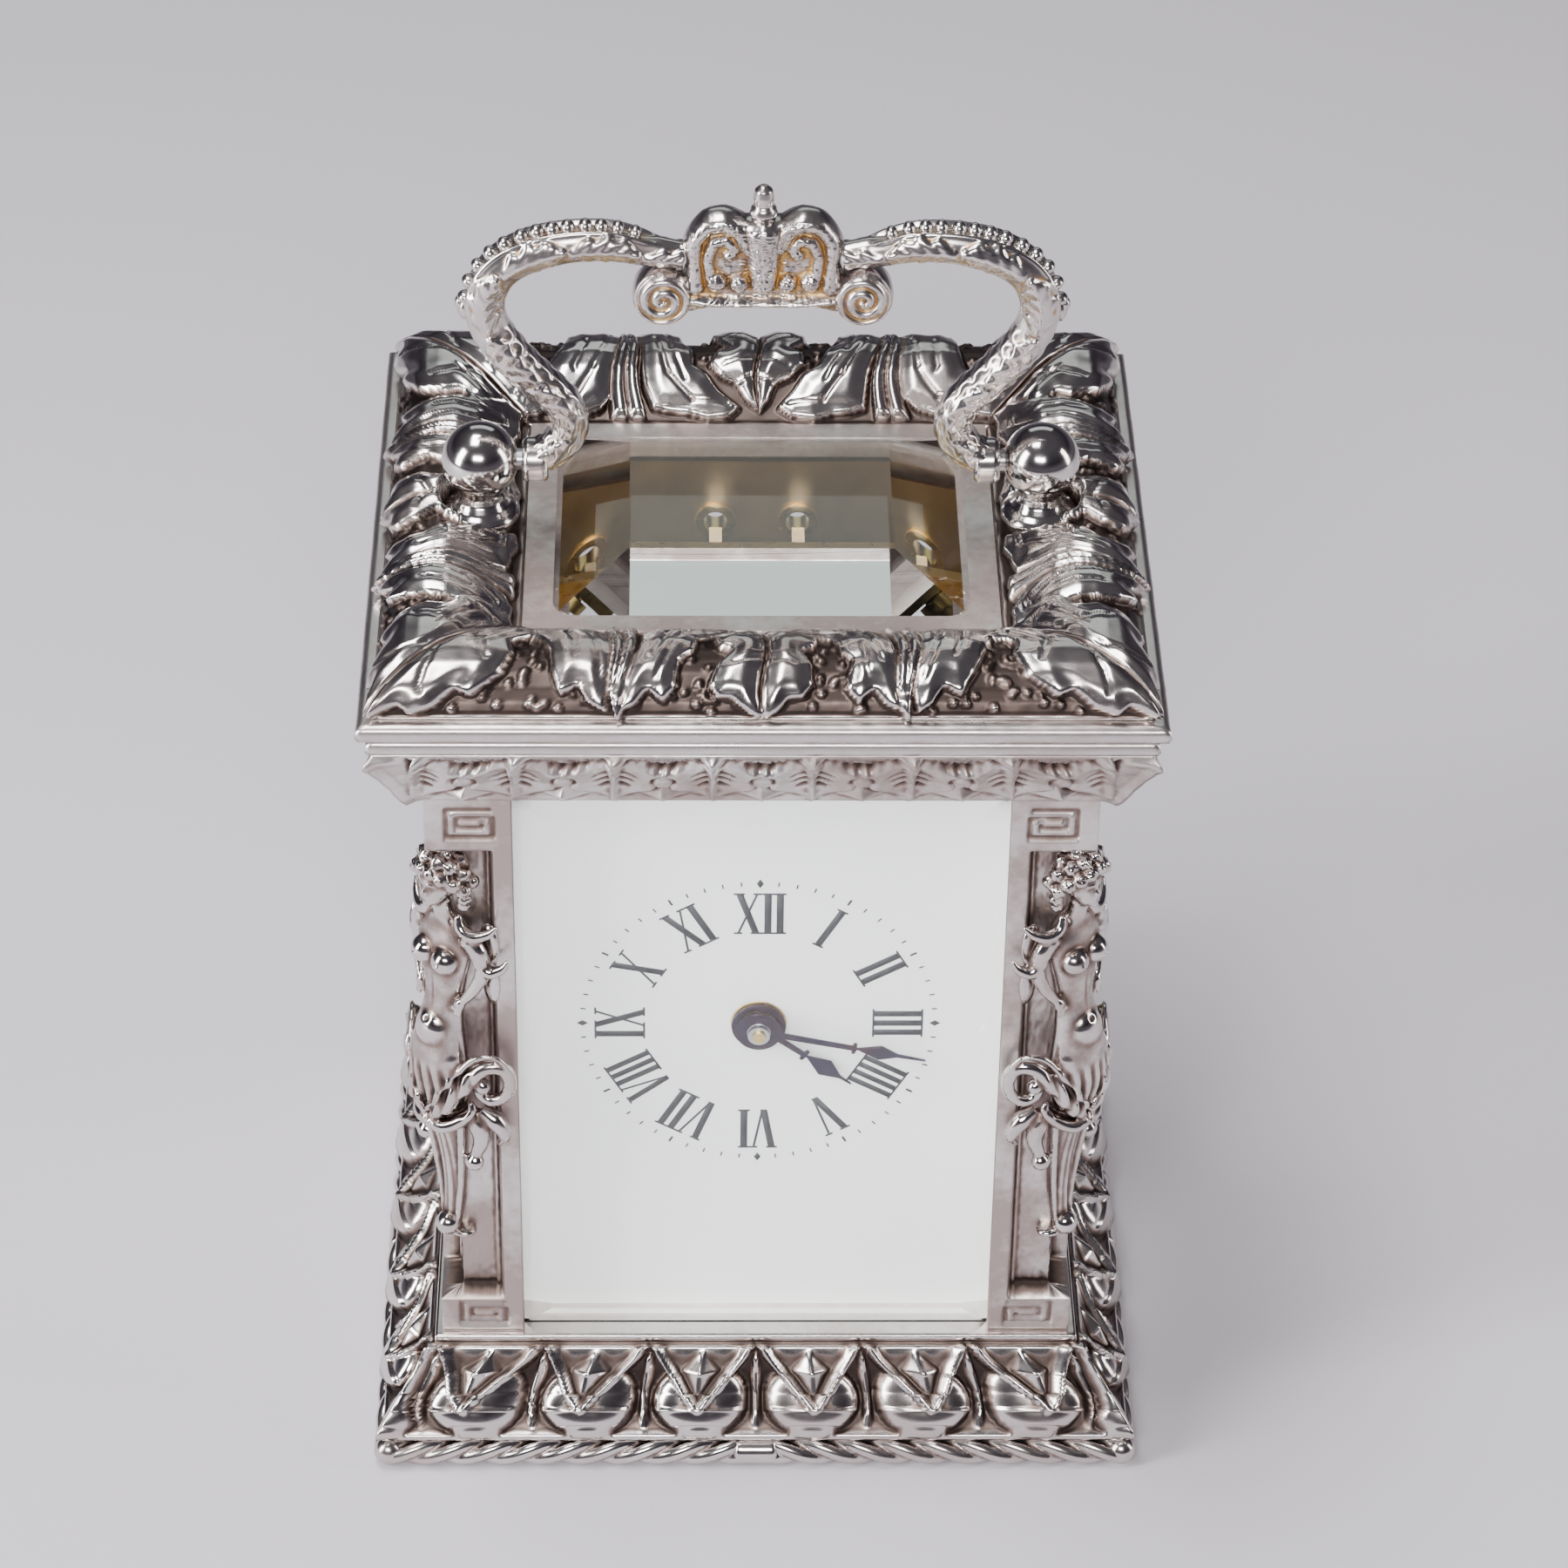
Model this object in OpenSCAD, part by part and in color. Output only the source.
// Miniature carriage clock with corner figures, a folding bail handle and a glazed case.
// Millimetres, +Z up, the dial faces -Y, origin at the bottom centre of the base.

/* [Case] */
// width across the corner pillars
body_width = 50; // [30:0.5:90]
// depth across the corner pillars
body_depth = 42.5; // [26:0.5:80]
// width of each square corner pillar
pillar_width = 6.5; // [4:0.1:10]
// height of the top of the base plinth
plinth_top = 10.05; // [6:0.05:20]
// height of the underside of the frieze
frieze_bottom = 63.3; // [45:0.1:110]
// height of the top of the frieze
frieze_top = 69.7; // [50:0.1:120]
// height of the flat slab top of the lid
lid_top = 72.8; // [55:0.1:130]
// thickness of the side and front glasses
glass_thickness = 1.6; // [1:0.1:3]
// number of V ribs across the front of the base
front_ribs = 6; // [3:1:12]
// number of V ribs along each side of the base
side_ribs = 5; // [3:1:12]
// number of leaves across the front of the frieze
front_leaves = 7; // [3:1:14]
// number of leaves along each side of the frieze
side_leaves = 6; // [3:1:14]

/* [Handle] */
// height of the folding axis of the handle
handle_axis_z = 79.15; // [78:0.05:90]
// distance from the middle to each ball
ball_x = 21.1; // [15:0.1:40]
// radius of each ball
ball_radius = 2.9; // [1.5:0.1:5]
// radius of the handle's pivot pins
handle_pin_radius = 0.8; // [0.4:0.05:1.5]

/* [Dial and movement] */
// height of the dial's centre
dial_z = 39.2; // [30:0.1:60]
// position of the dial's front face
dial_y = -17.3; // [-30:0.1:-10]
// radius of the centre of the minute track
minute_track_radius = 13.57; // [8:0.01:25]
// thickness of each movement plate
plate_thickness = 1.2; // [0.8:0.1:2]
// front face of the front movement plate
front_plate_y = -13.3; // [-20:0.1:-5]
// front face of the back movement plate
back_plate_y = 9.9; // [5:0.1:15]
// half width of the movement plates
plate_half_width = 16.5; // [12:0.1:20]
// height of the setting and winding arbors
keyhole_z = 57.5; // [50:0.1:70]
// distance from the middle to each keyhole
keyhole_x = 3.3; // [2:0.1:8]
// radial clearance of each running pivot
pivot_clearance = 0.03; // [0.01:0.01:0.08]

/* [Hidden] */
$fn = 32;

half_w = body_width / 2;
half_d = body_depth / 2;
inner_w = half_w - pillar_width;
inner_d = half_d - pillar_width;
tiny = 0.01;

SILVER = [0.80, 0.77, 0.75];
BRASS = [0.83, 0.66, 0.32];
STEEL = [0.55, 0.56, 0.58];
BLUED = [0.22, 0.16, 0.24];
GLASS = [0.75, 0.88, 0.85, 0.35];

// side profiles as [overhang beyond the pillars, height], from the bottom up
BASE_STEPS = [[3.0, 1.0], [3.0, 2.4], [4.7, 2.5], [4.8, 3.1], [3.3, 4.2], [2.2, 5.6],
    [1.4, 7.2], [0.9, 8.7], [0.5, 9.2], [0.5, plinth_top]];
FRIEZE_STEPS = [[0.4, frieze_bottom], [0.4, 63.9], [0.7, 64.9], [1.2, 66.2], [2.0, 67.6],
    [3.0, 68.8], [3.4, 69.1], [3.4, frieze_top]];
LID_STEPS = [[3.5, frieze_top], [3.8, 70.3], [3.5, 70.95], [3.0, 71.0], [3.0, 71.3],
    [4.15, 71.35], [4.45, 71.9], [4.4, 72.4], [3.9, lid_top]];
BAND_OUTER = [[3.4, lid_top], [3.2, 73.6], [2.4, 74.6], [1.0, 75.6], [-1.0, 76.1], [-3.0, 76.2]];
BAND_INNER = [[-7.3, lid_top], [-7.3, 73.2], [-6.6, 74.3], [-5.4, 75.3], [-4.0, 76.0], [-3.0, 76.2]];

// ---------- helpers for the mouldings ----------

// solid block whose four sides all carry one side profile, mitred at the corners
module moulded_block(steps, proud = 0) {
    intersection() {
        along_y() block_outline(half_w, steps, proud);
        along_x() block_outline(half_d, steps, proud);
    }
}

module block_outline(half, steps, proud) {
    right = [for (s = steps) [half + s[0] + proud, s[1]]];
    left = [for (i = [len(steps) - 1 : -1 : 0]) [-half - steps[i][0] - proud, steps[i][1]]];
    polygon(concat(right, left));
}

// run a flat outline drawn in X and Z through the depth
module along_y(length = 90) {
    rotate([90, 0, 0]) linear_extrude(length, center = true) children();
}

// run a flat outline drawn in Y and Z through the width
module along_x(length = 90) {
    rotate([90, 0, 90]) linear_extrude(length, center = true) children();
}

module ring_of_bar(outer, inner, z, height) {
    difference() {
        translate([-outer[0], -outer[1], z]) cube([2 * outer[0], 2 * outer[1], height]);
        translate([-inner[0], -inner[1], z - 1]) cube([2 * inner[0], 2 * inner[1], height + 2]);
    }
}

// round bar between two points
module rod(a, b, r) {
    v = b - a;
    translate(a)
        rotate([0, acos(v[2] / norm(v)), atan2(v[1], v[0])])
        cylinder(h = norm(v), r = r);
}

// flat stroke between two points of an outline
module stroke(a, b, w) {
    v = (b - a) / norm(b - a);
    s = [-v[1], v[0]] * w / 2;
    polygon([a - s, b - s, b + s, a + s]);
}

// repeat on the front and back, then on both sides
module front_and_back(count, pitch) {
    for (side = [0, 180], i = [0 : count - 1])
        rotate([0, 0, side]) translate([(i - (count - 1) / 2) * pitch, 0, 0]) children();
}

module both_sides(count, pitch) {
    for (side = [90, 270], i = [0 : count - 1])
        rotate([0, 0, side]) translate([(i - (count - 1) / 2) * pitch, 0, 0]) children();
}

// ---------- base ----------

rope_radius = 1.2;
rope_overhang = 4.4;
strand_pitch = 3.1;
rib_top = 9.3;
rib_foot = 3.7;
rib_thickness = 1.0;
foot_spread = 1.07;
screw_radius = 0.9;
screw_x = half_w - pillar_width / 2;
screw_y = half_d - pillar_width / 2;

module base_plate() {
    color(SILVER) difference() {
        translate([-half_w - 3.1, -half_d - 3.1, 0])
            cube([body_width + 6.2, body_depth + 6.2, 1]);
        corner_screw_holes(0, 1);
        at_screws() translate([0, 0, -1]) cylinder(h = 1.6, r = 1.9);
    }
}

module at_screws() {
    for (x = [-screw_x, screw_x], y = [-screw_y, screw_y]) translate([x, y, 0]) children();
}

module corner_screw_holes(z0, z1) {
    at_screws() translate([0, 0, z0 - 0.5]) cylinder(h = z1 - z0 + 1, r = screw_radius);
}

// V ribs drawn flat: tops at the pillar pitch, feet spread a little wider
module rib_pattern(count, width) {
    top_pitch = width / count;
    foot_pitch = top_pitch * foot_spread;
    for (i = [0 : count - 1]) {
        middle = i - (count - 1) / 2;
        foot = [middle * foot_pitch, rib_foot];
        stroke([(middle - 0.5) * top_pitch + 0.35, rib_top], foot, rib_thickness);
        stroke([(middle + 0.5) * top_pitch - 0.35, rib_top], foot, rib_thickness);
    }
}

// pointed boss hanging inside each V
module lozenge_pattern(count, width) {
    for (i = [0 : count - 1])
        polygon([for (p = [[0, 5.2], [1.1, 7.5], [0, 9.0], [-1.1, 7.5]])
            p + [(i - (count - 1) / 2) * width / count * 1.03, 0]]);
}

// the ribs stand out like thin gussets on this straighter profile
RIB_STEPS = [[4.9, 3.4], [4.7, 4.3], [3.7, 6.2], [2.4, 7.9], [1.0, rib_top]];

module base_moulding() {
    color(SILVER) difference() {
        union() {
            moulded_block(BASE_STEPS);
            intersection() {
                moulded_block(RIB_STEPS);
                union() {
                    along_y() rib_pattern(front_ribs, body_width);
                    along_x() rib_pattern(side_ribs, body_depth);
                }
            }
            intersection() {
                moulded_block([for (s = BASE_STEPS) if (s[1] > 4 && s[1] < plinth_top) s], 0.8);
                union() {
                    along_y() lozenge_pattern(front_ribs, body_width);
                    along_x() lozenge_pattern(side_ribs, body_depth);
                }
            }
            front_and_back(front_ribs, body_width / front_ribs * foot_spread) base_lobe(half_d);
            both_sides(side_ribs, body_depth / side_ribs * foot_spread) base_lobe(half_w);
            for (sx = [-1, 1], sy = [-1, 1]) {
                rod([sx * (half_w + 4.4), sy * (half_d + 4.4), 3.1], [sx * (half_w + 0.9),
                    sy * (half_d + 0.9), 8.9], 0.7);
            }
        }
        translate([-half_w - 3, -half_d - 3, -1]) cube([body_width + 6, body_depth + 6, 2]);
        corner_screw_holes(1, plinth_top);
        pin_holes();
    }
}

// rounded egg behind the foot of each V
module base_lobe(half) {
    intersection() {
        translate([0, -half - 0.6, 5.0]) sphere(r = 3.6, $fn = 48);
        translate([-5, -half - 5, 2.5]) cube([10, 6, 7]);
    }
}

// rope of leaning strands round the foot, the lean reversing at each middle
strand_lean = 38;
strand_thickness = 2.1;
clasp_half = 1.7;

module rope_strands(half, side) {
    count = floor((half - 2.2) / strand_pitch);
    for (i = [0 : count])
        translate([side * (2.6 + i * strand_pitch), 0, 0]) rotate([0, side * strand_lean, 0])
            translate([-strand_thickness / 2, 0, 0]) rotate([0, 90, 0])
            cylinder(h = strand_thickness, r = 2 * rope_radius);
}

module rope_side(half, overhang_half) {
    translate([0, -overhang_half, rope_radius]) {
        intersection() {
            translate([-half, 0, 0]) rotate([0, 90, 0]) cylinder(h = 2 * half, r = rope_radius - 0.05);
            for (side = [-1, 1]) rope_strands(half, side);
        }
        translate([-half - 0.3, 0, 0]) rotate([0, 90, 0])
            cylinder(h = 2 * half + 0.6, r = rope_radius - 0.35);
        translate([-clasp_half, 0, 0]) rotate([0, 90, 0]) cylinder(h = 2 * clasp_half, r = rope_radius);
    }
}

module rope_border() {
    rx = half_w + rope_overhang;
    ry = half_d + rope_overhang;
    color(SILVER) {
        rope_side(rx, ry);
        rotate([0, 0, 180]) rope_side(rx, ry);
        rotate([0, 0, 90]) rope_side(ry, rx);
        rotate([0, 0, 270]) rope_side(ry, rx);
        for (x = [-rx, rx], y = [-ry, ry]) translate([x, y, rope_radius]) sphere(r = rope_radius);
    }
}

module base_screws() {
    color(STEEL) at_screws() {
        difference() {
            translate([0, 0, 0.05]) cylinder(h = 0.55, r = 1.8);
            translate([-2, -0.2, 0]) cube([4, 0.4, 0.3]);
        }
        translate([0, 0, 0.6]) cylinder(h = plinth_top + 3, r = screw_radius);
    }
}

// ---------- pillars ----------

block_low = 13.6;
block_high = 58.2;
panel_sink = 1.7;
border = 1.0;

// plan of the sunken shaft: two borders beside the glasses and a cut-back corner
module shaft_plan() {
    polygon([[0, 0], [pillar_width, 0], [pillar_width, border],
        [pillar_width - panel_sink, border + 0.3], [pillar_width - panel_sink, pillar_width - panel_sink - 1],
        [pillar_width - panel_sink - 1, pillar_width - panel_sink],
        [border + 0.3, pillar_width - panel_sink], [border, pillar_width], [0, pillar_width]]);
}

// one square spiral of a Greek key, drawn flat around the middle of a block
module key_outline() {
    stroke([-2.1, -1.2], [2.1, -1.2], 0.3);
    stroke([2.1, -1.35], [2.1, 1.25], 0.3);
    stroke([2.25, 1.1], [-2.1, 1.1], 0.3);
    stroke([-2.1, 1.25], [-2.1, -0.45], 0.3);
    stroke([-2.25, -0.4], [1.1, -0.4], 0.3);
    stroke([1.1, -0.55], [1.1, 0.5], 0.3);
    stroke([1.25, 0.4], [-1.1, 0.4], 0.3);
}

// pillar with its inner corner at the origin, its outer corner towards +X +Y
module pillar() {
    color(SILVER) difference() {
        union() {
            translate([0, 0, plinth_top])
                cube([pillar_width, pillar_width, block_low - plinth_top]);
            translate([0, 0, block_high])
                cube([pillar_width, pillar_width, frieze_bottom - block_high]);
            translate([0, 0, block_low - tiny])
                linear_extrude(block_high - block_low + 2 * tiny) shaft_plan();
        }
        for (z = [(plinth_top + block_low) / 2, (block_high + frieze_bottom) / 2]) {
            translate([pillar_width / 2, pillar_width + 1, z])
                along_y(2.5) key_outline();
            translate([pillar_width + 1, pillar_width / 2, z])
                along_x(2.5) key_outline();
        }
        translate([pillar_width / 2, pillar_width / 2, plinth_top - 1])
            cylinder(h = 3.6 + 1, r = screw_radius);
    }
}

module pillar_front_left() {
    translate([-inner_w, -inner_d, 0]) rotate([0, 0, 180]) pillar();
}

module pillar_front_right() {
    mirror([1, 0, 0]) pillar_front_left();
}

module pillar_rear_left() {
    mirror([0, 1, 0]) pillar_front_left();
}

module pillar_rear_right() {
    mirror([0, 1, 0]) pillar_front_right();
}

// ---------- corner figures ----------

// smooth closed skin through oval rings, each [height, forward, half width, half depth]
module loft(rings, points = 14) {
    n = len(rings);
    skin = [for (g = rings, k = [0 : points - 1])
        [g[2] * cos(360 * k / points), -g[1] + g[3] * sin(360 * k / points), g[0]]];
    walls = [for (i = [0 : n - 2], k = [0 : points - 1])
        [i * points + k, (i + 1) * points + k, (i + 1) * points + (k + 1) % points,
            i * points + (k + 1) % points]];
    foot = [[for (k = [0 : points - 1]) k]];
    crown = [[for (k = [points - 1 : -1 : 0]) (n - 1) * points + k]];
    polyhedron(skin, concat(walls, foot, crown), convexity = 4);
}

TORSO = [[32.9, 1.6, 0.9, 0.8], [33.6, 1.8, 1.5, 1.3], [35.2, 2.0, 2.0, 1.65], [37.2, 2.15, 2.25, 1.85],
    [39.4, 2.15, 2.15, 1.75], [41.6, 1.9, 1.85, 1.55], [44.0, 1.45, 1.6, 1.3], [46.0, 1.35, 1.8, 1.35],
    [48.0, 1.3, 2.1, 1.4], [49.8, 1.15, 2.35, 1.2], [50.9, 1.1, 1.9, 0.95], [51.6, 1.25, 0.95, 0.8],
    [52.8, 1.5, 0.75, 0.75]];
HEAD = [[52.5, 1.9, 0.5, 0.6], [53.1, 1.95, 0.9, 1.0], [54.0, 1.9, 1.2, 1.35], [55.2, 1.75, 1.35, 1.5],
    [56.2, 1.7, 1.3, 1.4], [56.9, 1.65, 0.9, 1.0], [57.2, 1.6, 0.4, 0.5]];
LEG = [[20.4, 1.2, 0.5, 0.5], [22.0, 1.0, 0.7, 0.65], [25.0, 0.85, 0.85, 0.8], [28.5, 1.0, 1.1, 0.95],
    [31.5, 1.35, 1.4, 1.2], [33.4, 1.6, 1.6, 1.3]];
// curls of hair on one side, each [across, forward, height]
CURLS = [[0.6, 2.7, 56.5], [1.35, 2.1, 56.1], [1.75, 1.3, 55.1], [1.3, 1.3, 53.8], [0.8, 1.5, 57.2]];
curl_radius = 0.6;
// feathers of the plume behind the head, as leans in degrees
PLUME = [-50, -25, 0, 25, 50];
plume_length = 2.9;
foot_ball_z = 20.7;

// a quarter-turned scroll of round bar
module scroll(radius, bar, turn) {
    rotate_extrude(angle = turn, $fn = 24) translate([radius, 0]) circle(r = bar, $fn = 16);
}

// one bent arm with its hand on the waist, between the two drapery scrolls
module figure_arm() {
    shoulder = [2.2, -1.1, 50.3];
    elbow = [3.1, -0.8, 47.5];
    hand = [1.95, -1.65, 45.0];
    rod(shoulder, elbow, 0.68);
    translate(shoulder) sphere(r = 0.8);
    translate(elbow) sphere(r = 0.7);
    rod(elbow, hand, 0.48);
    translate(hand) sphere(r = 0.52);
    translate([2.6, -0.95, 51.4]) rotate([90, 0, -70]) scroll(0.8, 0.38, 250);
    translate([3.2, -0.5, 49.0]) rotate([90, 0, -60]) scroll(0.8, 0.36, 250);
}

// scroll that rises from the hem, rolls over the hip and ends in a small ball
module figure_hip() {
    hem = [0.9, -3.0, 33.9];
    hip = [2.6, -2.0, 37.0];
    roll = [3.1, -1.0, 36.9];
    rod(hem, hip, 0.5);
    translate(hem) sphere(r = 0.55);
    translate(roll) rotate([90, 0, 40]) scroll(1.1, 0.46, 320);
    rod(roll, roll + [0, 0, 1.1], 0.3);
    translate(roll) sphere(r = 0.55);
}

// leaf bracket under the hem, with its ball
module figure_bracket() {
    tip = [2.3, -1.2, 29.3];
    rod([1.6, -1.4, 33.4], tip, 0.55);
    translate(tip) sphere(r = 0.62);
    rod([2.0, -1.2, 32.0], [3.2, -0.1, 31.0], 0.45);
}

module figure_half() {
    translate([1.0, -2.25, 48.2]) sphere(r = 0.92);
    figure_arm();
    figure_hip();
    figure_bracket();
    for (c = CURLS) translate([c[0], -c[1], c[2]]) sphere(r = curl_radius);
}

// figure facing -Y with its back on the plane Y = 0, before it is set on a corner
module figure() {
    loft(TORSO);
    loft(HEAD, 12);
    loft(LEG, 10);
    figure_half();
    mirror([1, 0, 0]) figure_half();
    translate([0, -2.1, 41.0]) sphere(r = 1.5);
    for (lean = PLUME)
        rod([0, -0.5, 55.2], [plume_length * sin(lean), -0.3, 55.2 + plume_length * cos(lean)], 0.42);
    translate([0, -1.7, foot_ball_z]) sphere(r = 0.85);
    translate([-1.1, -1.3, 19.2]) cube([2.2, 1.3, 1.2]);
}

// stand the figure against the cut-back outer corner of a pillar
module caryatid(sx, sy) {
    corner = panel_sink + 0.5;
    color(SILVER) translate([sx * (half_w - corner), sy * (half_d - corner), 0])
        rotate([0, 0, atan2(sy, sx) + 90]) figure();
}

module caryatid_clean(sx, sy) {
    difference() {
        caryatid(sx, sy);
        translate([sx > 0 ? inner_w : -half_w, sy > 0 ? inner_d : -half_d, 0]) shaft_cut(sx, sy);
    }
}

// the pillar's own shaft, taken out of the back of the figure
module shaft_cut(sx, sy) {
    translate([sx > 0 ? 0 : pillar_width, sy > 0 ? 0 : pillar_width, 12])
        mirror([sx > 0 ? 0 : 1, 0, 0]) mirror([0, sy > 0 ? 0 : 1, 0])
        linear_extrude(48) shaft_plan();
}

module caryatid_front_left() {
    caryatid_clean(-1, -1);
}

module caryatid_front_right() {
    caryatid_clean(1, -1);
}

module caryatid_rear_left() {
    caryatid_clean(-1, 1);
}

module caryatid_rear_right() {
    caryatid_clean(1, 1);
}

// ---------- frieze and lid ----------

frieze_wall = 1.8;
frieze_relief = 0.85;
bead_radius = 0.65;
bead_z = 66.5;
bead_overhang = 1.75;

// leaves with a midrib, a dart below the bead and a ridge between neighbours
module leaf_pattern(count, width) {
    pitch = width / count;
    for (i = [0 : count - 1]) {
        x = (i - (count - 1) / 2) * pitch;
        polygon([[x - pitch * 0.40, 69.0], [x - pitch * 0.40, 67.4], [x - 0.8, 65.9], [x - 0.3, 66.9],
            [x + 0.3, 66.9], [x + 0.8, 65.9], [x + pitch * 0.40, 67.4], [x + pitch * 0.40, 69.0]]);
        polygon([[x, 63.6], [x + 1.3, 64.6], [x, 65.7], [x - 1.3, 64.6]]);
    }
    for (i = [0 : count])
        polygon([for (p = [[0, 63.7], [0.75, 65.4], [0.45, 69.0], [-0.45, 69.0], [-0.75, 65.4]])
            p + [(i - count / 2) * pitch, 0]]);
}

module frieze_moulding() {
    color(SILVER) difference() {
        union() {
            moulded_block(FRIEZE_STEPS);
            intersection() {
                moulded_block([for (s = FRIEZE_STEPS) if (s[1] < 69.2) s], frieze_relief);
                union() {
                    along_y() leaf_pattern(front_leaves, body_width);
                    along_x() leaf_pattern(side_leaves, body_depth);
                }
            }
            front_and_back(front_leaves, body_width / front_leaves)
                translate([0, -half_d - bead_overhang, bead_z]) sphere(r = bead_radius);
            both_sides(side_leaves, body_depth / side_leaves)
                translate([0, -half_w - bead_overhang, bead_z]) sphere(r = bead_radius);
        }
        translate([-half_w + frieze_wall, -half_d + frieze_wall + 1, frieze_bottom - 1])
            cube([body_width - 2 * frieze_wall, body_depth - 2 * frieze_wall - 2, 9]);
        pin_holes();
    }
}

module lid_moulding() {
    color(SILVER) difference() {
        moulded_block(LID_STEPS);
        translate([-frame_x, -frame_y, 69]) cube([2 * frame_x, 2 * frame_y, 5]);
        for (s = [-1, 1]) translate([s * ball_x, 0, 69]) cylinder(h = 5, r = 1.0);
    }
}

reed_x = 9.6;
band_relief = 0.6;

// carved leaves laid over the curved band, drawn in plan for the front edge
module band_leaves(half_length, half_other) {
    edge = half_other;
    for (s = [-1, 1]) {
        translate([s * reed_x, 0]) {
            polygon([[-0.9, -edge - 3.0], [-0.5, -edge + 7.0], [0, -edge + 7.0], [0, -edge - 3.0]]);
            polygon([[1.15, -edge - 3.0], [0.65, -edge + 7.0], [0.15, -edge + 7.0], [0.15, -edge - 3.0]]);
        }
        translate([s * (half_length - 2.6), 0]) leaf_plan(edge, 3.4);
        translate([s * 5.2, 0]) leaf_plan(edge, 2.0);
        translate([s * 14.2, 0]) leaf_plan(edge, 2.2);
    }
    leaf_plan(edge, 2.6);
}

// one lobed leaf seen from above, its tip towards the outer edge
module leaf_plan(edge, w) {
    polygon([[0, -edge - 2.8], [w * 0.35, -edge - 1.3], [w * 0.9, -edge - 1.6], [w * 0.7, -edge + 0.6],
        [w, -edge + 1.2], [w * 0.65, -edge + 3.0], [w * 0.8, -edge + 4.2], [w * 0.25, -edge + 6.6],
        [-w * 0.25, -edge + 6.6], [-w * 0.8, -edge + 4.2], [-w * 0.65, -edge + 3.0], [-w, -edge + 1.2],
        [-w * 0.7, -edge + 0.6], [-w * 0.9, -edge - 1.6], [-w * 0.35, -edge - 1.3]]);
}

module band_shape(proud) {
    difference() {
        moulded_block([for (s = BAND_OUTER) [s[0], s[1] + (s[1] > lid_top ? proud : 0)]]);
        moulded_block(concat([for (s = BAND_INNER) [s[0], s[1] + (s[1] > lid_top ? proud : -1)]],
            [[-2.9, 78]]));
    }
}

module lid_band() {
    color(SILVER) difference() {
        union() {
            band_shape(0);
            intersection() {
                band_shape(band_relief);
                translate([0, 0, lid_top]) linear_extrude(6) {
                    for (a = [0, 180]) rotate(a) band_leaves(half_w, half_d);
                    for (a = [90, 270]) rotate(a) band_leaves(half_d, half_w);
                }
            }
        }
        for (s = [-1, 1]) translate([s * ball_x, 0, 72]) cylinder(h = 6, r = 3.05);
    }
}

frame_x = half_w - 7.3;
frame_y = half_d - 7.3;
glass_x = 15.5;
glass_y = 12.1;

module rounded_plan(hx, hy, r) {
    square([2 * hx - 2 * r, 2 * hy], center = true);
    square([2 * hx, 2 * hy - 2 * r], center = true);
    for (x = [-hx + r, hx - r], y = [-hy + r, hy - r]) translate([x, y]) circle(r = r);
}

module top_glass_frame() {
    color(SILVER) difference() {
        translate([-frame_x, -frame_y, frieze_top - 0.6]) cube([2 * frame_x, 2 * frame_y, 4.2]);
        translate([0, 0, 70.4]) linear_extrude(5) rounded_plan(glass_x, glass_y, 1.8);
        translate([0, 0, 68]) linear_extrude(5) rounded_plan(glass_x - 1.2, glass_y - 1.2, 1.2);
    }
}

module top_glass() {
    color(GLASS) intersection() {
        translate([0, 0, 70.4]) linear_extrude(6) rounded_plan(glass_x, glass_y, 1.8);
        along_y() polygon([[-16, 70], [16, 70], [16, 73], [glass_x, 73.2], [9.9, 76], [-9.9, 76],
            [-glass_x, 73.2], [-16, 73]]);
        along_x() polygon([[-13, 70], [13, 70], [13, 73], [glass_y, 73.2], [7.2, 76], [-7.2, 76],
            [-glass_y, 73.2], [-13, 73]]);
    }
}

// ---------- glasses ----------

glass_set_back = 0.25;
bevel_width = 2.2;
bevel_depth = 0.75;

// upright glass facing -Y with a bevel round its outer face
module bevelled_glass(width) {
    z0 = plinth_top;
    z1 = frieze_bottom;
    h = width / 2;
    intersection() {
        linear_extrude(80) polygon([[-h, 0], [h, 0], [h, -glass_thickness + bevel_depth],
            [h - bevel_width, -glass_thickness], [-h + bevel_width, -glass_thickness],
            [-h, -glass_thickness + bevel_depth]]);
        along_x() polygon([[0, z0], [0, z1], [-glass_thickness + bevel_depth, z1],
            [-glass_thickness, z1 - bevel_width], [-glass_thickness, z0 + bevel_width],
            [-glass_thickness + bevel_depth, z0]]);
    }
}

module front_glass() {
    color(GLASS) translate([0, -half_d + glass_set_back + glass_thickness, 0])
        bevelled_glass(2 * inner_w);
}

module side_glass_right() {
    color(GLASS) translate([half_w - glass_set_back - glass_thickness, 0, 0])
        rotate([0, 0, 90]) bevelled_glass(2 * inner_d);
}

module side_glass_left() {
    mirror([1, 0, 0]) side_glass_right();
}

// ---------- handle ----------

module at_balls() {
    for (s = [-1, 1]) translate([s * ball_x, 0, 0]) children();
}

module handle_posts() {
    color(SILVER) difference() {
        at_balls() {
            rotate_extrude() polygon([[0, 68.4], [1.0, 68.4], [1.0, lid_top], [3.0, lid_top], [3.0, 73.6],
                [2.6, 74.3], [2.75, 75.0], [2.3, 75.7], [1.6, 76.1], [1.45, 76.5], [1.7, 77.2], [0, 78]]);
            translate([0, 0, handle_axis_z]) sphere(r = ball_radius, $fn = 64);
        }
        for (s = [-1, 1]) translate([s * (ball_x - 1.6), 0, handle_axis_z]) rotate([0, -s * 90, 0])
            cylinder(h = 4, r = handle_pin_radius);
    }
}

module handle_pins() {
    color(STEEL) for (s = [-1, 1]) translate([s * (ball_x - 1.6), 0, handle_axis_z])
        rotate([0, -s * 90, 0]) cylinder(h = 3.9, r = handle_pin_radius);
}

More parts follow.
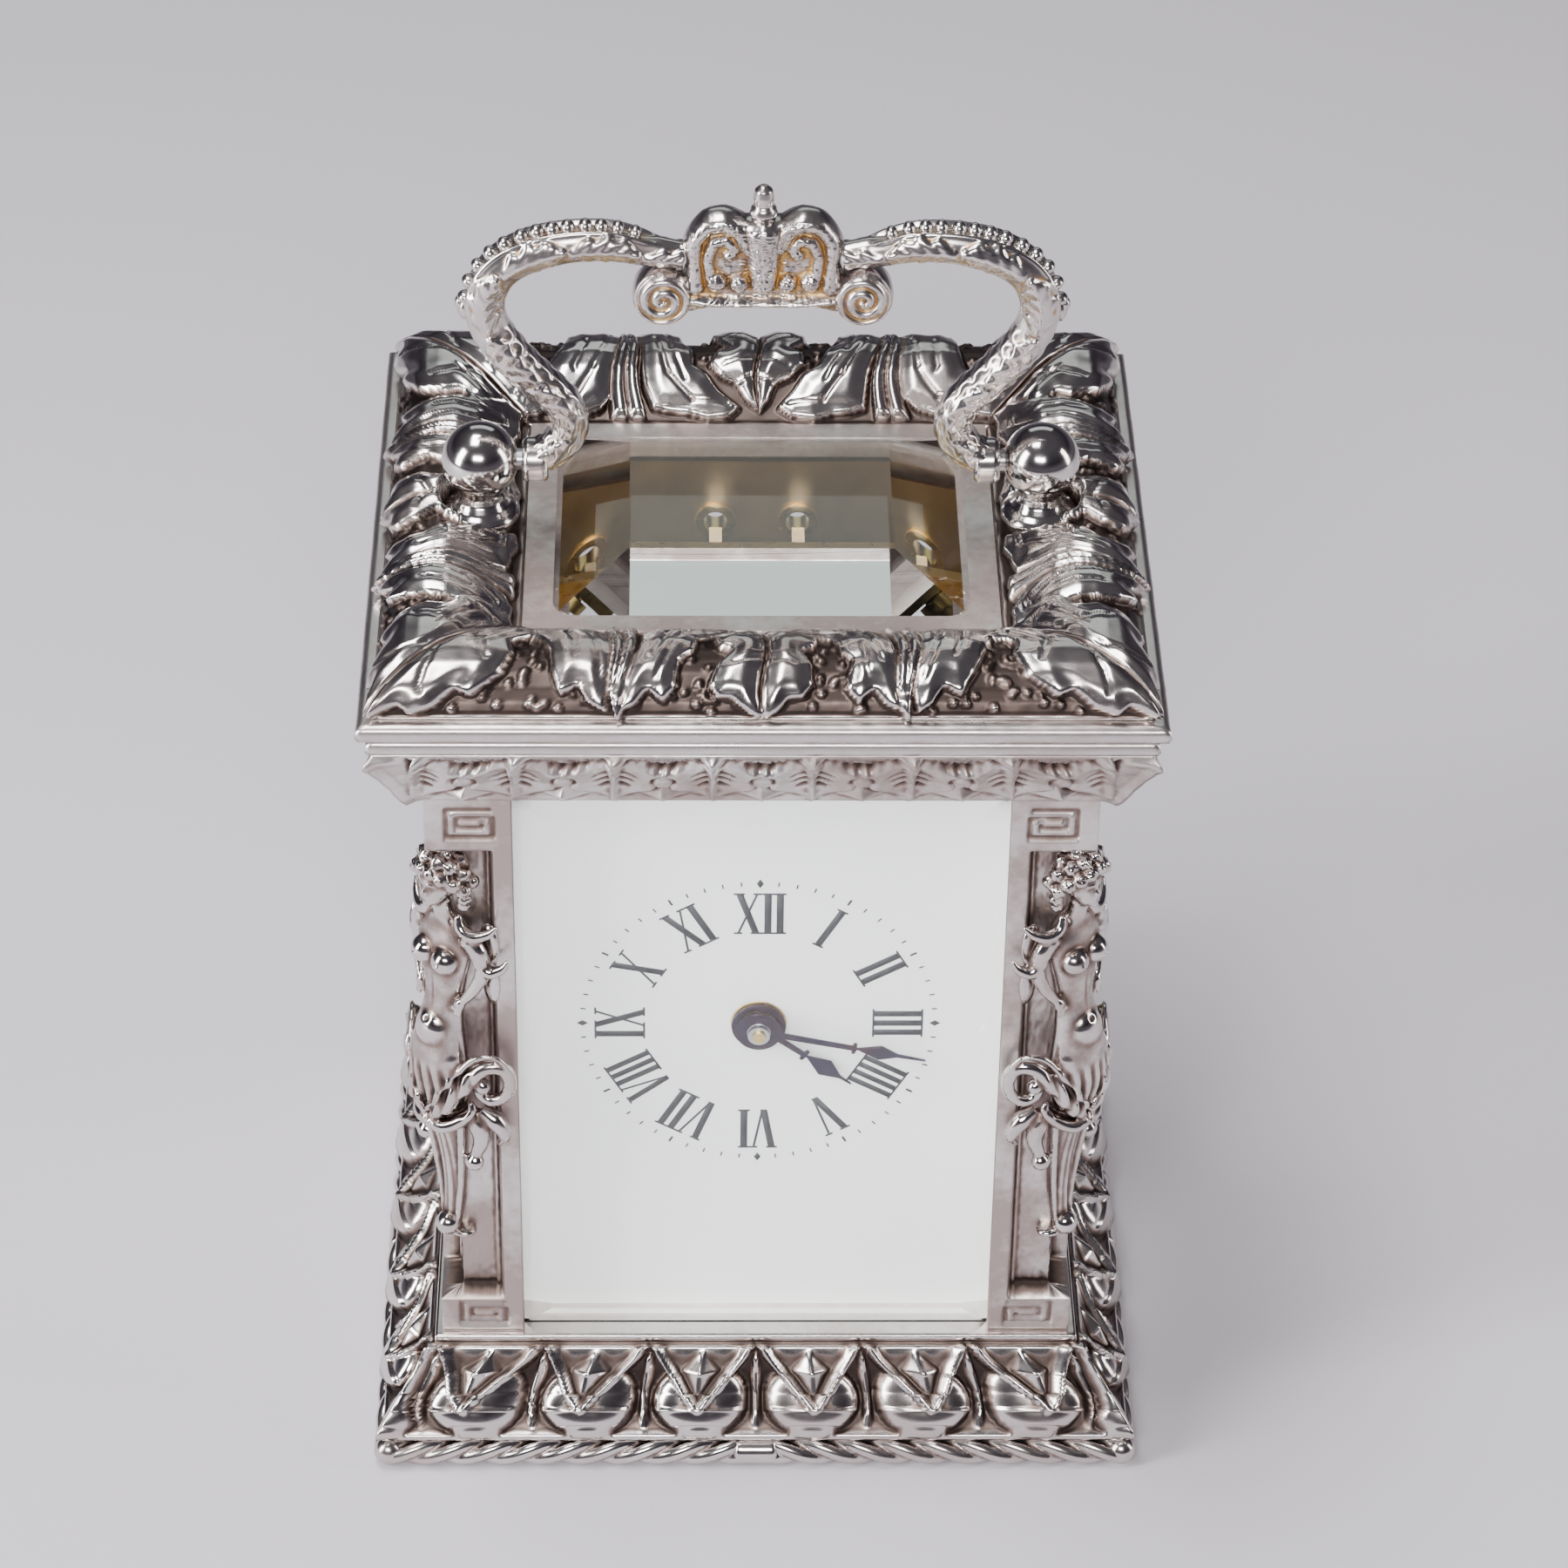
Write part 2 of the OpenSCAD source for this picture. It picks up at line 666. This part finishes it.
module post_nuts() {
    color(STEEL) at_balls() difference() {
        translate([0, 0, 68.5]) cylinder(h = 1.2, r = 1.75, $fn = 6);
        translate([0, 0, 68]) cylinder(h = 2, r = 1.0);
    }
}

// centre line of one arm, from the eye to the volute, as [x, z]
ARM = [[17.0, 79.6], [15.3, 80.3], [14.3, 82.1], [14.9, 84.2], [16.9, 86.4], [18.8, 88.6],
    [20.2, 91.0], [20.5, 93.6], [19.3, 95.8], [17.1, 97.3], [14.2, 98.1], [11.2, 98.2], [8.6, 97.6], [5.8, 97.2]];
ARM_RADIUS = [1.5, 1.45, 1.45, 1.5, 1.55, 1.6, 1.65, 1.65, 1.6, 1.55, 1.5, 1.35, 1.15, 1.0];
arm_sides = 10;
arm_samples = 32;

// smooth position along a list of stations at parameter t, by a Catmull-Rom curve
function station(list, i) = list[max(0, min(len(list) - 1, i))];
function spline(list, t) = let (i = min(len(list) - 2, floor(t)), u = t - i,
    a = station(list, i - 1), b = station(list, i), c = station(list, i + 1), d = station(list, i + 2))
    0.5 * ((2 * b) + (c - a) * u + (2 * a - 5 * b + 4 * c - d) * u * u
        + (3 * b - a - 3 * c + d) * u * u * u);

// swept arm: oval rings square to the centre line, a little deeper than wide
module arm() {
    last = len(ARM) - 1;
    rings = [for (k = [0 : arm_samples]) let (t = last * k / arm_samples,
        p = spline(ARM, t), q = spline(ARM, min(last, t + 0.05)), q0 = spline(ARM, max(0, t - 0.05)),
        tangent = (q - q0) / norm(q - q0), normal = [-tangent[1], tangent[0]],
        r = spline(ARM_RADIUS, t))
        [for (j = [0 : arm_sides - 1]) let (a = 360 * j / arm_sides)
            [p[0] + normal[0] * r * cos(a), r * 1.12 * sin(a), p[1] + normal[1] * r * cos(a)]]];
    skin = [for (g = rings, v = g) v];
    walls = [for (k = [0 : arm_samples - 1], j = [0 : arm_sides - 1])
        [k * arm_sides + j, k * arm_sides + (j + 1) % arm_sides, (k + 1) * arm_sides + (j + 1) % arm_sides,
            (k + 1) * arm_sides + j]];
    ends = [[for (j = [arm_sides - 1 : -1 : 0]) j], [for (j = [0 : arm_sides - 1]) arm_samples * arm_sides + j]];
    polyhedron(skin, concat(walls, ends), convexity = 6);
}

bead_from = 7.0;
bead_to = 11.0;
bead_count = 11;

// row of beads along the outer edge of the arm
module arm_beads() {
    for (k = [0 : bead_count - 1]) {
        t = bead_from + (bead_to - bead_from) * k / (bead_count - 1);
        p = spline(ARM, t);
        d = spline(ARM, t + 0.05) - spline(ARM, t - 0.05);
        outward = [d[1], -d[0]] / norm(d) * 1.45;
        translate([p[0] + outward[0], 0, p[1] + outward[1]]) sphere(r = 0.55, $fn = 20);
    }
}

eye_x = 15.95;
eye_width = 1.95;

module handle_bail() {
    color(SILVER) difference() {
        union() {
            for (s = [0, 1]) mirror([s, 0, 0]) {
                arm();
                arm_beads();
                translate([eye_x, 0, handle_axis_z]) rotate([0, 90, 0]) cylinder(h = eye_width, r = 1.75);
                translate([22.1, 0, 93.0]) sphere(r = 0.6);
                translate([7.36, 0, 93.85]) rotate([90, 0, 0]) volute();
                translate([3.3, 0, 98.4]) rotate([90, 0, 0]) lobe();
            }
            crest();
        }
        for (s = [-1, 1]) translate([s * 14, 0, handle_axis_z]) rotate([0, s * 90, 0])
            cylinder(h = 6, r = handle_pin_radius + 0.04);
    }
}

// rolled volute seen from the front
module volute() {
    cylinder(h = 2.6, r = 1.5, center = true);
    rotate_extrude() translate([1.75, 0]) circle(r = 0.6);
    translate([0, 0, 1.3]) sphere(r = 0.7);
    translate([0, 0, -1.3]) sphere(r = 0.7);
    translate([-1.9, 3.1, 0]) cylinder(h = 2.2, r = 1.6, center = true);
}

// one arched lobe of the crest
module lobe() {
    cylinder(h = 1.6, r = 2.1, center = true);
    rotate_extrude() translate([2.0, 0]) circle(r = 0.55);
}

// middle of the handle: a waisted panel with a centre rib and a finial
module crest() {
    along_y(1.8) polygon([[-5.4, 93.2], [-3, 93.0], [0, 92.9], [3, 93.0], [5.4, 93.2], [5.8, 95.5],
        [5.2, 98.9], [-5.2, 98.9], [-5.8, 95.5]]);
    along_y(2.7) polygon([[-5.8, 92.6], [-3, 92.9], [0, 93.0], [3, 92.9], [5.8, 92.6], [5.6, 94.0],
        [3, 94.3], [0, 94.4], [-3, 94.3], [-5.6, 94.0]]);
    rod([0, 0, 93.5], [0, 0, 100.6], 1.15);
    translate([0, 0, 100.4]) rotate_extrude() polygon([[0, -0.6], [1.2, 0], [1.3, 0.5], [0.8, 0.9], [0.75, 1.7],
        [0.55, 2.3], [0, 2.5]]);
    for (x = [-3.4, -1.75, 1.75, 3.4], y = [-1.2, 1.2]) translate([x, y, 95.1]) sphere(r = 0.65, $fn = 20);
}

// ---------- rear door ----------

door_axis_x = -inner_w + 1.2;
door_axis_y = half_d - 1.05;
door_half_t = 0.8;
door_z0 = plinth_top + 0.2;
door_z1 = frieze_bottom - 0.2;
hinge_pin_radius = 0.4;
collar_radius = 1.6;
key_hole_radius = 0.95;

module pin_holes() {
    for (z = [plinth_top - 1.2, frieze_bottom - 0.01])
        translate([door_axis_x, door_axis_y, z]) cylinder(h = 1.21, r = hinge_pin_radius);
}

module door_hinge_pins() {
    color(STEEL) for (z = [plinth_top - 1.2, door_z1 - 1.5])
        translate([door_axis_x, door_axis_y, z]) cylinder(h = 2.9, r = hinge_pin_radius);
}

module door_panel() {
    color(SILVER) difference() {
        union() {
            translate([door_axis_x, door_axis_y - door_half_t, door_z0])
                cube([inner_w - 0.25 - door_axis_x, 2 * door_half_t, door_z1 - door_z0]);
            translate([door_axis_x, door_axis_y, door_z0])
                cylinder(h = door_z1 - door_z0, r = door_half_t);
        }
        translate([door_axis_x, door_axis_y, plinth_top - 1])
            cylinder(h = 60, r = hinge_pin_radius + 0.03);
        for (s = [-1, 1]) translate([s * keyhole_x, door_axis_y, keyhole_z]) rotate([90, 0, 0])
            cylinder(h = 4, r = collar_radius - 0.35, center = true);
        translate([inner_w - 2.8, door_axis_y, dial_z]) rotate([90, 0, 0])
            cylinder(h = 4, r = 0.7, center = true);
        translate([-inner_w + 4, door_axis_y + door_half_t - 0.25, 13])
            cube([2 * inner_w - 8, 1, 0.3]);
        translate([-inner_w + 4, door_axis_y + door_half_t - 0.25, 60])
            cube([2 * inner_w - 8, 1, 0.3]);
    }
}

module keyhole_collars() {
    color(BRASS) for (s = [-1, 1]) translate([s * keyhole_x, door_axis_y, keyhole_z])
        rotate([90, 0, 0]) difference() {
            union() {
                cylinder(h = 2 * door_half_t, r = collar_radius - 0.35, center = true);
                for (e = [-1, 1]) translate([0, 0, e * (door_half_t + 0.15)])
                    cylinder(h = 0.3, r = collar_radius, center = true);
            }
            cylinder(h = 5, r = key_hole_radius, center = true);
        }
}

module door_knob() {
    color(BRASS) translate([inner_w - 2.8, door_axis_y, dial_z]) rotate([-90, 0, 0])
        rotate_extrude() polygon([[0, -1.1], [1.3, -1.1], [1.3, -0.8], [0.7, -0.8], [0.7, 0.8], [1.5, 0.8],
            [1.5, 1.1], [0.7, 1.5], [0.7, 1.9], [1.5, 2.3], [1.6, 2.8], [1.2, 3.2], [0, 3.3]]);
}

// ---------- gears ----------

// flat toothed wheel: radial flanks below the pitch circle and rounded tips above it
module toothed(teeth, module_mm, share, tip, root, phase, bore) {
    r = teeth * module_mm / 2;
    half_tooth = 180 / teeth * share;
    outline = [[-root, -1], [0, -1], [0.6 * tip, -0.68], [tip, -0.22], [tip, 0.22], [0.6 * tip, 0.68],
        [0, 1], [-root, 1]];
    difference() {
        polygon([for (k = [0 : teeth - 1], o = outline) let (a = phase + 360 * k / teeth + o[1] * half_tooth)
            (r + o[0] * module_mm) * [cos(a), sin(a)]]);
        if (bore > 0) circle(r = bore);
    }
}

module wheel_teeth(teeth, module_mm, phase, bore = 0) {
    toothed(teeth, module_mm, 0.44, 0.9, 1.1, phase, bore);
}

module pinion_teeth(teeth, module_mm, phase, bore = 0) {
    toothed(teeth, module_mm, 0.36, 0.6, 1.4, phase, bore);
}

// crossings of a train wheel: rim, hub and spokes
module crossed(teeth, module_mm, phase, spokes, hub) {
    rim = teeth * module_mm / 2 - 1.1 * module_mm - 0.75;
    difference() {
        wheel_teeth(teeth, module_mm, phase);
        difference() {
            circle(r = rim);
            circle(r = hub);
            for (k = [0 : spokes - 1]) rotate(360 * k / spokes)
                translate([0, -0.35]) square([rim + 1, 0.7]);
        }
    }
}

// place flat work of the movement: outline in X and Z, from y0 towards +Y
module at_y(centre, y0, thick) {
    translate([centre[0], y0 + thick, centre[1]]) rotate([90, 0, 0]) linear_extrude(thick) children();
}

module arbor(centre, y0, y1, r) {
    translate([centre[0], y0, centre[1]]) rotate([-90, 0, 0]) cylinder(h = y1 - y0, r = r);
}

// point at distance ra from a and rb from b, on the chosen side of the line a to b
function meet(a, ra, b, rb, side) = let (d = norm(b - a), u = (b - a) / d,
    along = (ra * ra - rb * rb + d * d) / (2 * d), up = sqrt(ra * ra - along * along))
    a + u * along + side * up * [-u[1], u[0]];

function polar(r, a) = r * [cos(a), sin(a)];
function bearing(a, b) = atan2(b[1] - a[1], b[0] - a[0]);

// phase of a driven wheel that puts a gap where the first wheel's tooth comes
function mesh_phase(n1, phase1, n2, from, to) = let (a = bearing(from, to),
    s = (phase1 - a) * n1 / n2) a + 180 - s + 180 / n2;

front_face = front_plate_y;
plate_in = front_plate_y + plate_thickness;
plate_back = back_plate_y + plate_thickness;
mesh_slack = 0.03;

CENTRE = [0, dial_z];
SETTING = [keyhole_x, keyhole_z];
WINDING = [-keyhole_x, keyhole_z];
minute_arm = 0.3 * (12 + 36) / 2 + mesh_slack;
MINUTE = meet(CENTRE, minute_arm, SETTING, 0.3 * (36 + 40) / 2 + mesh_slack, -1);
BARREL = meet(CENTRE, 0.3 * (60 + 10) / 2 + mesh_slack, WINDING, 0.3 * (66 + 12) / 2 + mesh_slack, 1);
THIRD = CENTRE + polar(0.3 * (60 + 8) / 2 + mesh_slack, -20);
FOURTH = THIRD + polar(0.27 * (56 + 8) / 2 + mesh_slack, 235);
ESCAPE = FOURTH + polar(0.22 * (60 + 8) / 2 + mesh_slack, 180);
LEVER = ESCAPE + polar(4.6, 200);
BALANCE = ESCAPE + polar(7.3, 200);

cannon_phase = 0;
minute_phase = mesh_phase(12, cannon_phase, 36, CENTRE, MINUTE);
setting_phase = mesh_phase(36, minute_phase, 40, MINUTE, SETTING);
minute_pinion_phase = 0;
hour_phase = mesh_phase(10, minute_pinion_phase, 40, MINUTE, CENTRE);
winding_phase = 0;
ratchet_phase = mesh_phase(12, winding_phase, 66, WINDING, BARREL);
centre_phase = 0;
centre_pinion_phase = 0;
great_phase = mesh_phase(10, centre_pinion_phase, 60, CENTRE, BARREL);
third_pinion_phase = mesh_phase(60, centre_phase, 8, CENTRE, THIRD);
third_phase = 0;
fourth_pinion_phase = mesh_phase(56, third_phase, 8, THIRD, FOURTH);
fourth_phase = 0;
escape_pinion_phase = mesh_phase(60, fourth_phase, 8, FOURTH, ESCAPE);

// ---------- dial and hands ----------

minute_hand_bearing = 90 - 102.5;
hour_hand_bearing = 90 - 128.5;
minute_hand_length = 13.2;
hour_hand_length = 9.2;

module dial_plate() {
    color([0.95, 0.95, 0.93]) difference() {
        union() {
            translate([-inner_w + 0.3, dial_y, plinth_top])
                cube([2 * inner_w - 0.6, 1, frieze_bottom - plinth_top - 0.3]);
            for (x = [-15.5, 15.5], z = [18, 56]) arbor([x, z], dial_y + 1, front_face, 0.8);
        }
        arbor(CENTRE, dial_y - 1, dial_y + 2, 1.9);
    }
}

// hand drawn pointing along +X: boss, stem, cross bar, leaf and thin tip
module hand_outline(length, boss, leaf_at, leaf_half) {
    circle(r = boss);
    polygon([[0, -0.28], [leaf_at - 2.2, -0.2], [leaf_at - 2.2, 0.2], [0, 0.28]]);
    translate([leaf_at - 2.3, -0.5]) square([0.3, 1.0]);
    polygon([[leaf_at - 2.2, 0], [leaf_at - 0.4, -leaf_half], [leaf_at + 1.0, -0.16],
        [length, -0.06], [length, 0.06], [leaf_at + 1.0, 0.16], [leaf_at - 0.4, leaf_half]]);
}

module minute_hand() {
    color(BLUED) at_y(CENTRE, dial_y - 1.25, 0.25) difference() {
        rotate(minute_hand_bearing) hand_outline(minute_hand_length, 1.75, 9.6, 0.62);
        circle(r = 0.9);
    }
}

module hour_hand() {
    color(BLUED) at_y(CENTRE, dial_y - 0.6, 0.25) difference() {
        rotate(hour_hand_bearing) hand_outline(hour_hand_length, 2.1, 6.6, 0.78);
        circle(r = 1.6);
    }
}

module hand_nut() {
    color(STEEL) difference() {
        arbor(CENTRE, dial_y - 1.65, dial_y - 1.25, 0.85);
        arbor(CENTRE, dial_y - 2, dial_y - 1, 0.52);
    }
}

module cannon_pinion() {
    color(STEEL) {
        difference() {
            arbor(CENTRE, dial_y - 1.25, front_face - 0.2, 0.9);
            arbor(CENTRE, dial_y - 2, front_face + 1, 0.52);
        }
        at_y(CENTRE, front_face - 0.9, 0.7) pinion_teeth(12, 0.3, cannon_phase, 0.88);
    }
}

module hour_wheel() {
    color(BRASS) {
        difference() {
            arbor(CENTRE, dial_y - 0.6, front_face - 1.5, 1.6);
            arbor(CENTRE, dial_y - 2, front_face, 0.98);
        }
        at_y(CENTRE, front_face - 2.1, 0.6) wheel_teeth(40, 0.288, hour_phase, 1.55);
    }
}

module minute_wheel() {
    color(BRASS) {
        at_y(MINUTE, front_face - 0.9, 0.7) wheel_teeth(36, 0.3, minute_phase, 0.55);
        at_y(MINUTE, front_face - 2.2, 1.35) pinion_teeth(10, 0.288, minute_pinion_phase, 0.55);
    }
}

module setting_arbor() {
    color(STEEL) {
        at_y(SETTING, front_face - 0.9, 0.7) wheel_teeth(40, 0.3, setting_phase);
        arbor(SETTING, front_face - 1.2, plate_back + 0.3, 0.55);
        at_y(SETTING, plate_back + 0.3, 6.2) square(1.0, center = true);
        arbor(SETTING, plate_in + 0.1, plate_in + 0.6, 1.1);
    }
}

// ---------- winding ----------

module winding_arbor() {
    color(STEEL) {
        arbor(WINDING, front_face + 0.1, plate_back + 0.3, 0.55);
        arbor(WINDING, plate_in + 0.1, plate_in + 0.6, 1.1);
        at_y(WINDING, plate_back + 0.3, 1.2) pinion_teeth(12, 0.3, winding_phase);
        at_y(WINDING, plate_back + 1.5, 5.0) square(1.0, center = true);
    }
}

module winding_wheel() {
    color(STEEL) {
        at_y(BARREL, plate_back + 0.4, 1.0) wheel_teeth(66, 0.3, ratchet_phase);
        arbor(BARREL, front_face + 0.1, plate_back + 0.4, 0.8);
        arbor(BARREL, plate_back + 1.4, plate_back + 1.9, 1.6);
        arbor(BARREL, -5.4, 3.4, 2.4);
    }
}

CLICK = BARREL + polar(13.2, -25);

module click() {
    color(STEEL) difference() {
        at_y(CLICK, plate_back + 0.45, 0.9) {
            circle(r = 1.3);
            rotate(bearing(CLICK, BARREL) - 62) polygon([[0, -0.9], [3.3, -0.55], [4.2, 0.6], [3.5, 0.75], [0, 1.1]]);
        }
        arbor(CLICK, plate_back, plate_back + 2, 0.53);
    }
}

module click_spring() {
    color(STEEL) {
        at_y(CLICK + [5.2, -4.6], plate_back, 0.8) circle(r = 0.9);
        at_y(CLICK, plate_back + 0.5, 0.5) stroke([4.9, -4.6], [2.1, 1.4], 0.35);
    }
}

// ---------- going train ----------

module barrel() {
    color(BRASS) difference() {
        union() {
            at_y(BARREL, -7.2, 1.2) wheel_teeth(60, 0.3, great_phase);
            arbor(BARREL, -6.1, 4.0, 8.5);
        }
        arbor(BARREL, -5.6, 3.5, 7.9);
        arbor(BARREL, -9, 6, 0.83);
    }
}

module train_arbor(centre, r) {
    arbor(centre, plate_in + 0.15, back_plate_y - 0.15, r);
    arbor(centre, front_face + 0.1, plate_back - 0.1, r * 0.62);
}

module centre_arbor() {
    color(BRASS) {
        at_y(CENTRE, -9.5, 0.6) crossed(60, 0.3, centre_phase, 5, 1.6);
        arbor(CENTRE, -10.1, -8.4, 1.3);
    }
    color(STEEL) {
        at_y(CENTRE, -7.7, 2.2) pinion_teeth(10, 0.3, centre_pinion_phase);
        arbor(CENTRE, plate_in + 0.15, back_plate_y - 0.15, 0.8);
        arbor(CENTRE, dial_y - 1.9, plate_back - 0.1, 0.5);
    }
}

module third_arbor() {
    color(BRASS) at_y(THIRD, 5.6, 0.5) crossed(56, 0.27, third_phase, 5, 1.3);
    color(STEEL) {
        at_y(THIRD, -10.1, 1.8) pinion_teeth(8, 0.3, third_pinion_phase);
        train_arbor(THIRD, 0.55);
    }
}

module fourth_arbor() {
    color(BRASS) at_y(FOURTH, 2.0, 0.4) crossed(60, 0.22, fourth_phase, 5, 1.1);
    color(STEEL) {
        at_y(FOURTH, 4.9, 1.9) pinion_teeth(8, 0.27, fourth_pinion_phase);
        train_arbor(FOURTH, 0.5);
    }
}

escape_teeth = 15;
escape_radius = 3.0;

// pointed club teeth leaning forwards, on a thin crossed rim
module escape_outline() {
    difference() {
        union() {
            circle(r = escape_radius - 0.85);
            for (k = [0 : escape_teeth - 1]) rotate(360 * k / escape_teeth + 12)
                polygon([[escape_radius - 1.0, -0.28], [escape_radius - 0.05, 0.22], [escape_radius, 0.42],
                    [escape_radius - 0.25, 0.5], [escape_radius - 1.0, 0.3]]);
        }
        difference() {
            circle(r = escape_radius - 1.2);
            circle(r = 0.8);
            for (k = [0 : 3]) rotate(90 * k) translate([0, -0.2]) square([escape_radius, 0.4]);
        }
    }
}

module escape_wheel() {
    color(BRASS) at_y(ESCAPE, 6.4, 0.35) escape_outline();
    color(STEEL) {
        at_y(ESCAPE, 1.2, 2.0) pinion_teeth(8, 0.22, escape_pinion_phase);
        train_arbor(ESCAPE, 0.35);
    }
}

// lever with two pallet arms round the wheel and a fork towards the balance
module pallet_lever() {
    color(STEEL) {
        at_y(LEVER, 6.35, 0.45) rotate(20) {
            circle(r = 0.6);
            for (s = [-1, 1]) {
                stroke([0, 0], [1.0, s * 2.6], 0.5);
                stroke([0.9, s * 2.5], [1.75, s * 2.35], 0.45);
            }
            stroke([0, 0], [-1.55, 0], 0.5);
            stroke([-1.4, 0.3], [-1.95, 0.3], 0.22);
            stroke([-1.4, -0.3], [-1.95, -0.3], 0.22);
            stroke([-1.45, -0.4], [-1.45, 0.4], 0.25);
        }
        train_arbor(LEVER, 0.3);
    }
}

balance_y = 13.0;

module balance_wheel() {
    color(BRASS) at_y(BALANCE, balance_y, 0.7) {
        difference() {
            circle(r = 5.5);
            circle(r = 4.8);
        }
        rotate(35) square([10, 0.7], center = true);
        circle(r = 0.9);
        for (k = [0 : 11]) rotate(30 * k + 20) translate([5.6, 0]) square([0.7, 0.5], center = true);
    }
    color(STEEL) {
        arbor(BALANCE, plate_in + 0.15, 15.2, 0.3);
        arbor(BALANCE, front_face + 0.1, 15.9, 0.2);
        arbor(BALANCE, 7.2, 7.6, 0.75);
    }
}

coil_turns = 6;
coil_inner = 0.8;
coil_pitch = 0.42;

// flat spiral of thin strip from the collet out to the stud
module hairspring() {
    steps = coil_turns * 24;
    inner = [for (k = [0 : steps]) (coil_inner + coil_pitch * k / 24) * [cos(15 * k), sin(15 * k)]];
    outer = [for (k = [steps : -1 : 0]) (coil_inner + 0.1 + coil_pitch * k / 24) * [cos(15 * k), sin(15 * k)]];
    color(BLUED) at_y(BALANCE, 14.2, 0.3) {
        polygon(concat(inner, outer));
        difference() {
            circle(r = coil_inner + 0.09);
            circle(r = 0.31);
        }
    }
}

COCK_FOOT = BALANCE + [8.0, -5.6];

module balance_cock() {
    color(BRASS) difference() {
        union() {
            at_y(BALANCE, 15.3, 0.9) {
                circle(r = 1.7);
                stroke([0, 0], [8.0, -5.6], 2.4);
            }
            at_y(COCK_FOOT, plate_back, 16.2 - plate_back) circle(r = 1.9);
        }
        arbor(BALANCE, 14, 17, 0.2 + pivot_clearance);
    }
}

// ---------- movement frame ----------

plate_z0 = 12.0;
plate_z1 = 61.0;
TRAIN_PIVOTS = [[THIRD, 0.55], [FOURTH, 0.5], [ESCAPE, 0.35], [LEVER, 0.3]];

module plate(y) {
    translate([-plate_half_width, y, plate_z0])
        cube([2 * plate_half_width, plate_thickness, plate_z1 - plate_z0]);
}

module pivot_hole(centre, y, r) {
    arbor(centre, y - 1, y + plate_thickness + 1, r + pivot_clearance);
}

module movement_front_plate() {
    color(BRASS) difference() {
        union() {
            plate(front_plate_y);
            arbor(MINUTE, front_face - 2.5, front_face + 0.1, 0.5);
        }
        for (p = TRAIN_PIVOTS) pivot_hole(p[0], front_plate_y, p[1] * 0.62);
        pivot_hole(CENTRE, front_plate_y, 0.5);
        pivot_hole(BARREL, front_plate_y, 0.8);
        pivot_hole(SETTING, front_plate_y, 0.55);
        pivot_hole(WINDING, front_plate_y, 0.55);
        pivot_hole(BALANCE, front_plate_y, 0.2);
    }
}

module movement_back_plate() {
    color(BRASS) difference() {
        union() {
            plate(back_plate_y);
            arbor(CLICK, plate_back - 0.1, plate_back + 1.7, 0.5);
        }
        for (p = TRAIN_PIVOTS) pivot_hole(p[0], back_plate_y, p[1] * 0.62);
        pivot_hole(CENTRE, back_plate_y, 0.5);
        pivot_hole(BARREL, back_plate_y, 0.8);
        pivot_hole(SETTING, back_plate_y, 0.55);
        pivot_hole(WINDING, back_plate_y, 0.55);
        arbor(BALANCE, back_plate_y - 1, plate_back + 1, 0.5);
    }
}

module movement_pillars() {
    color(BRASS) for (x = [-14.3, 14.3], z = [14.2, 58.8]) {
        arbor([x, z], plate_in, back_plate_y, 1.2);
        arbor([x, z], plate_in + 0.2, plate_in + 1.4, 1.7);
        arbor([x, z], back_plate_y - 1.4, back_plate_y - 0.2, 1.7);
    }
}

module movement_seat() {
    color(BRASS) translate([-plate_half_width, front_plate_y, plinth_top])
        cube([2 * plate_half_width, plate_back - front_plate_y, plate_z0 - plinth_top]);
}

// ---------- selection ----------

base_plate();
base_moulding();
rope_border();
base_screws();
pillar_front_left();
pillar_front_right();
pillar_rear_left();
pillar_rear_right();
caryatid_front_left();
caryatid_front_right();
caryatid_rear_left();
caryatid_rear_right();
frieze_moulding();
lid_moulding();
lid_band();
top_glass_frame();
top_glass();
front_glass();
side_glass_left();
side_glass_right();
handle_posts();
handle_pins();
post_nuts();
handle_bail();
door_panel();
door_knob();
keyhole_collars();
door_hinge_pins();
dial_plate();
minute_hand();
hand_nut();
cannon_pinion();
hour_hand();
hour_wheel();
minute_wheel();
setting_arbor();
winding_arbor();
winding_wheel();
click();
click_spring();
barrel();
centre_arbor();
third_arbor();
fourth_arbor();
escape_wheel();
pallet_lever();
balance_wheel();
hairspring();
balance_cock();
movement_front_plate();
movement_back_plate();
movement_pillars();
movement_seat();
